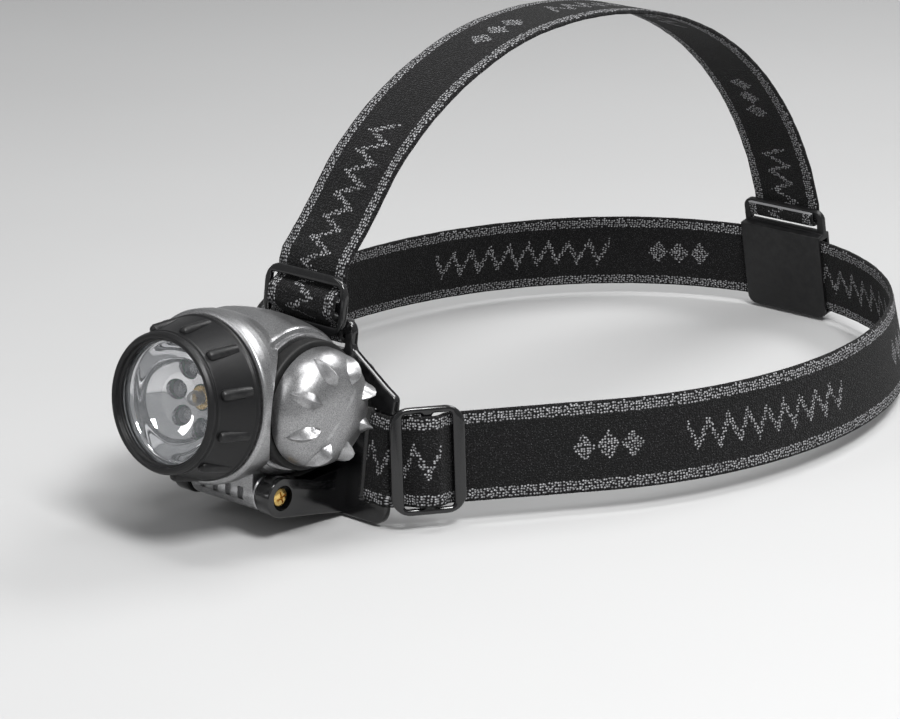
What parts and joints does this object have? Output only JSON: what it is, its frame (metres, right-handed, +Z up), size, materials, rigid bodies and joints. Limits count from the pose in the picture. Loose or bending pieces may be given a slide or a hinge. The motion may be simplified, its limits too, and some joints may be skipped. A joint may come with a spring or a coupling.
{
  "type": "miner's cap lamp",
  "caption": "Strap-on cap lamp: tilting LED lamp head with ribbed bezel and domed side knobs on a base plate, with elastic head band and top strap.",
  "frame": {"origin": "middle of the foam pad's rear face, where it rests on the cap", "axes": "+Z up, -Y forwards (the lens looks along -Y, tipped 8 degrees up), +X to the wearer's left, which is the right of the lamp seen from its front; the head band lies level"},
  "size_m": [0.1842, 0.2923, 0.1201],
  "materials": {
    "black_plastic": "satin moulded black plastic",
    "gloss_black": "glossy black plastic",
    "silver_plastic": "satin metallic silver coating on plastic",
    "rubber": "matte black rubber",
    "foam": "closed-cell foam with a soft black skin",
    "webbing": "black elastic webbing with speckled grey edge stripes and a woven geometric motif",
    "clear_lens": "clear polished plastic lens",
    "led_epoxy": "clear epoxy",
    "bulb_glass": "clear glass",
    "chrome": "vacuum-metallised mirror finish",
    "brass": "bright brass",
    "steel": "zinc-plated steel",
    "circuit_board": "green solder mask",
    "red_wire": "red wire insulation",
    "black_wire": "black wire insulation",
    "cell_jacket": "plain printed cell jacket"
  },
  "bodies": {
    "base": {"base_plate": "black_plastic", "foam_pad": "foam", "hinge_screw_right": "brass", "hinge_screw_left": "brass", "hinge_washer_right": "rubber", "hinge_washer_left": "rubber", "head_strap": "webbing", "top_strap": "webbing", "slider_right": "gloss_black", "slider_left": "gloss_black", "slider_top": "gloss_black", "rear_junction": "black_plastic"},
    "lamp": {"front_shell": "silver_plastic", "rear_shell": "silver_plastic", "shell_screw_right": "steel", "shell_screw_left": "steel", "ring_seal_right": "rubber", "ring_seal_left": "rubber", "led_board": "circuit_board", "led_1": "led_epoxy", "led_2": "led_epoxy", "led_3": "led_epoxy", "led_4": "led_epoxy", "led_5": "led_epoxy", "led_6": "led_epoxy", "led_7": "led_epoxy", "bulb_socket": "brass", "bulb": "bulb_glass", "reflector": "chrome", "neck_seal": "rubber", "switch_board": "circuit_board", "lead_red": "red_wire", "lead_black": "black_wire"},
    "bezel": {"bezel": "black_plastic", "lens": "clear_lens", "lens_seal": "rubber"},
    "switch": {"switch_knob": "silver_plastic", "switch_rotor": "brass"},
    "cartridge": {"battery_carrier": "black_plastic", "cell_1": "cell_jacket", "cell_2": "cell_jacket", "cell_3": "cell_jacket", "cell_spring_1": "steel", "cell_spring_2": "steel", "cell_spring_3": "steel", "cell_contact": "brass"},
    "battery_cap": {"battery_cap": "silver_plastic"}
  },
  "joints": [
    {"name": "lamp_tilt", "type": "hinge", "parent": "base", "child": "lamp", "pos_m": [0, -0.03631, -0.0155], "axis": [1, 0, 0], "range_deg": [0, 70]},
    {"name": "bezel_turn", "type": "hinge", "parent": "lamp", "child": "bezel", "pos_m": [0, -0.02782, 0.00896], "axis": [0, -0.9903, 0.1392], "range_deg": [0, 90]},
    {"name": "mode_switch_turn", "type": "hinge", "parent": "lamp", "child": "switch", "pos_m": [0, -0.02782, 0.00896], "axis": [-1, 0, 0], "range_deg": [0, 90]},
    {"name": "cartridge_slide", "type": "slide", "parent": "lamp", "child": "cartridge", "axis": [1, 0, 0], "range_m": [0, 0.052]},
    {"name": "battery_cap_turn", "type": "hinge", "parent": "cartridge", "child": "battery_cap", "pos_m": [0, -0.02782, 0.00896], "axis": [1, 0, 0], "range_deg": [0, 45]}
  ]
}
